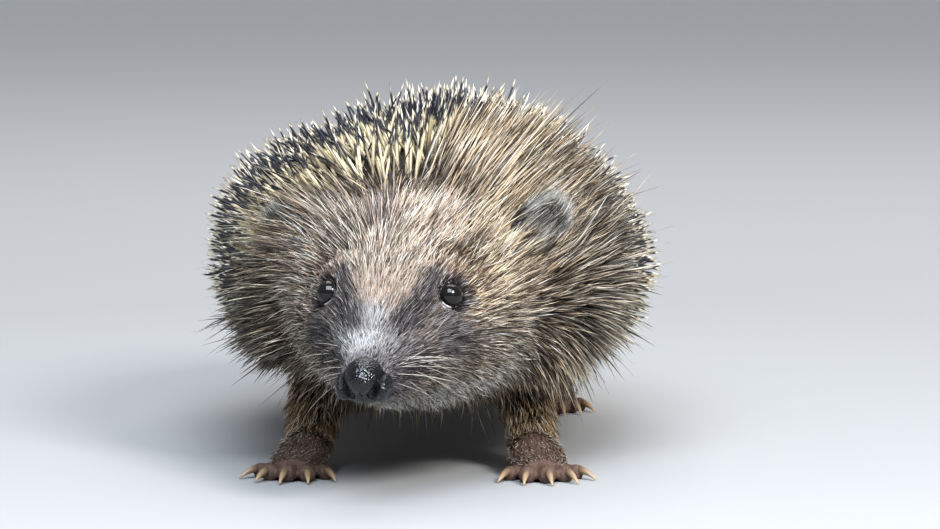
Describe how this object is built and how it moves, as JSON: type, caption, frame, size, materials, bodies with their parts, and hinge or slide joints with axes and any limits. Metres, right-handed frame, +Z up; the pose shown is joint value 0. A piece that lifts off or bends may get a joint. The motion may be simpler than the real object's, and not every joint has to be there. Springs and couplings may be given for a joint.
{
  "type": "hedgehog",
  "caption": "Life-size still model of a standing European hedgehog with a coat of spines, its head lowered and turned a little to its right.",
  "frame": {"origin": "on the floor, under the middle of the bounding box", "axes": "-Y the way the animal faces, +X its left side, +Z up"},
  "size_m": [0.1128, 0.2322, 0.0876],
  "materials": {
    "face_fur": "short tan and grey fur, pale on the muzzle and dark round the eyes",
    "spines": "smooth banded quills, cream with a dark brown band and a pale tip",
    "belly_fur": "coarse brown fur",
    "nose_leather": "wet black, finely pebbled",
    "eye": "glossy black",
    "ear_skin": "grey skin with fine short hairs",
    "foot_skin": "bare dark skin with fine wrinkles, horn-coloured claws"
  },
  "bodies": {
    "root": {"nose": "nose_leather", "head": "face_fur", "lower_jaw": "face_fur", "neck": "face_fur", "trunk_spiny_back": "spines", "trunk_belly": "belly_fur", "tail": "belly_fur", "eye_left": "eye", "ear_left": "ear_skin", "foreleg_left": "belly_fur", "forefoot_left": "foot_skin", "hindleg_left": "belly_fur", "hindfoot_left": "foot_skin", "eye_right": "eye", "ear_right": "ear_skin", "foreleg_right": "belly_fur", "forefoot_right": "foot_skin", "hindleg_right": "belly_fur", "hindfoot_right": "foot_skin"}
  },
  "joints": []
}
